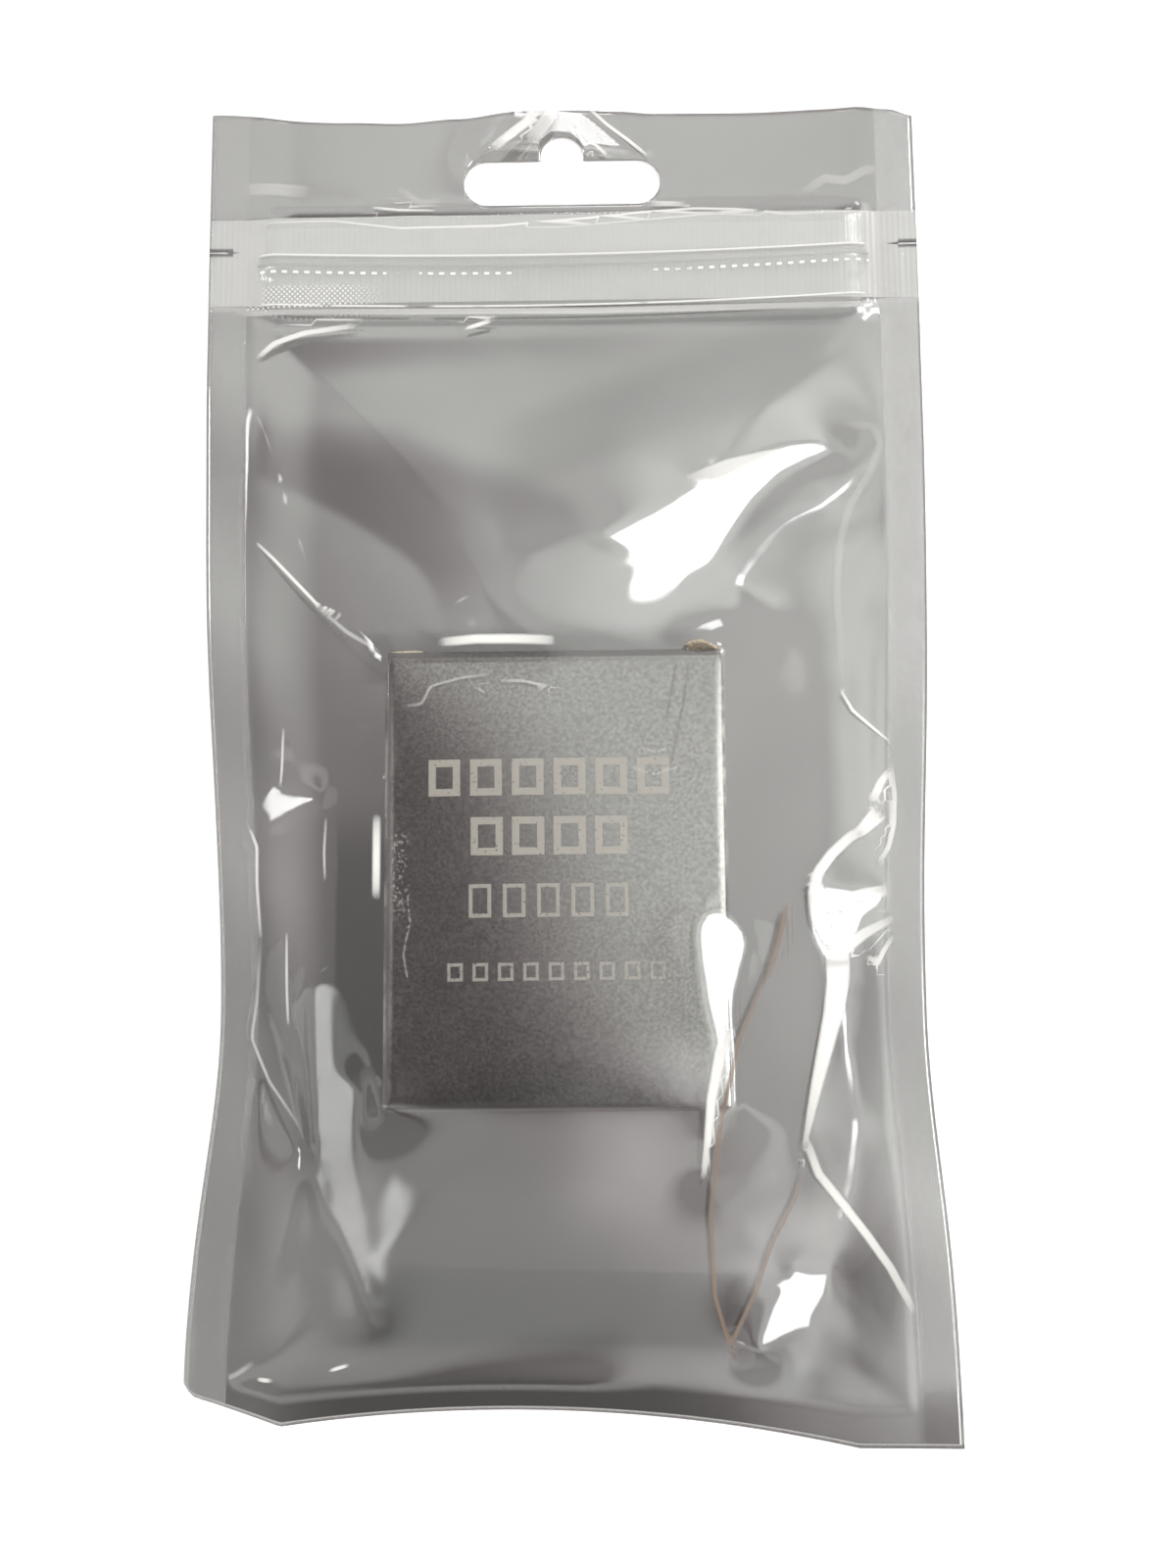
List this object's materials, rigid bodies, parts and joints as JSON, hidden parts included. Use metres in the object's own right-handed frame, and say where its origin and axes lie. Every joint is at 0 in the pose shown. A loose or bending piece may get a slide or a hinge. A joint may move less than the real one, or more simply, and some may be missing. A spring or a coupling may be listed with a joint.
{
  "type": "zip hang bag with carton",
  "caption": "Clear-front, silver-backed zip-top hang bag with heat-sealed edges, a hang hole and tear slits, holding a closed tuck-end carton of silvery board.",
  "frame": {"origin": "under the middle of the bag's laid-flat outline, on the surface that the pack lies on", "axes": "+Z out of the clear front, +Y along the bag towards the hang hole, +X to the right seen from the front"},
  "size_m": [0.12, 0.22, 0.0135],
  "materials": {
    "clear_film": "clear glossy polymer film, creased",
    "silver_film": "metallised polymer film, satin silver-grey",
    "zip_plastic": "translucent extruded polymer",
    "carton_board": "board printed in metallic silver, worn at the edges"
  },
  "bodies": {
    "root": {"front_film": "clear_film", "back_film": "silver_film", "zip_groove_strip": "zip_plastic", "zip_rib_strip": "zip_plastic", "carton": "carton_board"}
  },
  "joints": []
}
